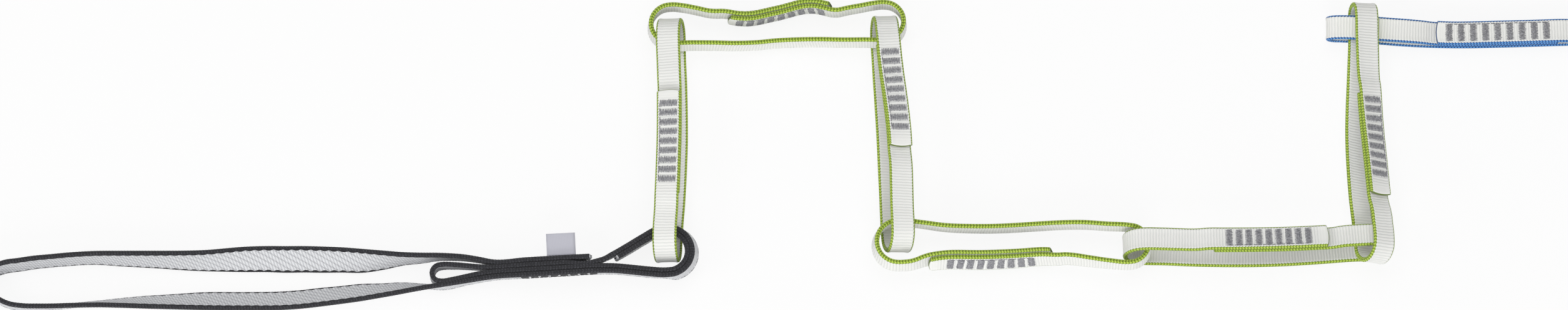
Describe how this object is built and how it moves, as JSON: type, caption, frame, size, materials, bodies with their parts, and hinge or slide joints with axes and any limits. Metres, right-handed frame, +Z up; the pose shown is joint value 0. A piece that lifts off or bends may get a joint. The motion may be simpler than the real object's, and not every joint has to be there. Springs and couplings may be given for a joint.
{
  "type": "climbing daisy chain",
  "caption": "Climbing tether of sewn webbing links that hang in one another, with a girth-hitch loop and a stitched stack at one end.",
  "frame": {"origin": "middle of the chain's bounding box, on the table it lies on", "axes": "+X from the girth-hitch loop to the end link, +Y across the table, +Z up"},
  "size_m": [0.7632, 0.1458, 0.026],
  "materials": {
    "link": "fine cross-ribbed white webbing with green edges",
    "end_link": "fine cross-ribbed white webbing with blue edges",
    "tether": "twill webbing with black edges and a light grey face",
    "thread": "grey sewing thread",
    "tether_thread": "black sewing thread",
    "label": "bare folded tape"
  },
  "bodies": {
    "tether": {"tether_webbing": "tether", "label": "label", "tether_bobbin_thread": "tether_thread", "tether_needle_thread": "tether_thread"},
    "link_1": {"link_1_webbing": "link", "link_1_bobbin_thread": "thread", "link_1_needle_thread": "thread"},
    "link_2": {"link_2_webbing": "link", "link_2_bobbin_thread": "thread", "link_2_needle_thread": "thread"},
    "link_3": {"link_3_webbing": "link", "link_3_bobbin_thread": "thread", "link_3_needle_thread": "thread"},
    "link_4": {"link_4_webbing": "link", "link_4_bobbin_thread": "thread", "link_4_needle_thread": "thread"},
    "link_5": {"link_5_webbing": "link", "link_5_bobbin_thread": "thread", "link_5_needle_thread": "thread"},
    "link_6": {"link_6_webbing": "link", "link_6_bobbin_thread": "thread", "link_6_needle_thread": "thread"},
    "end_link": {"end_link_webbing": "end_link", "end_link_bobbin_thread": "thread", "end_link_needle_thread": "thread"}
  },
  "joints": [
    {"name": "tether_link_1_swing", "type": "hinge", "parent": "tether", "child": "link_1", "pos_m": [-0.07545, -0.04725, 0.01], "axis": [0, 0, 1], "range_deg": [-50, 60]},
    {"name": "link_1_link_2_swing", "type": "hinge", "parent": "link_1", "child": "link_2", "pos_m": [-0.07395, 0.05994, 0.01], "axis": [0, 0, -1], "range_deg": [-60, 40]},
    {"name": "link_2_link_3_swing", "type": "hinge", "parent": "link_2", "child": "link_3", "pos_m": [0.02224, 0.06129, 0.01], "axis": [0, 0, 1], "range_deg": [-35, 60]},
    {"name": "link_3_link_4_swing", "type": "hinge", "parent": "link_3", "child": "link_4", "pos_m": [0.02858, -0.04242, 0.01], "axis": [0, 0, -1], "range_deg": [-60, 60]},
    {"name": "link_4_link_5_swing", "type": "hinge", "parent": "link_4", "child": "link_5", "pos_m": [0.13207, -0.04351, 0.01], "axis": [0, 0, 1], "range_deg": [-60, 60]},
    {"name": "link_5_link_6_swing", "type": "hinge", "parent": "link_5", "child": "link_6", "pos_m": [0.24195, -0.0412, 0.01], "axis": [0, 0, -1], "range_deg": [-20, 30]},
    {"name": "link_6_end_link_swing", "type": "hinge", "parent": "link_6", "child": "end_link", "pos_m": [0.2386, 0.05974, 0.01], "axis": [0, 0, 1], "range_deg": [-25, 30]}
  ]
}
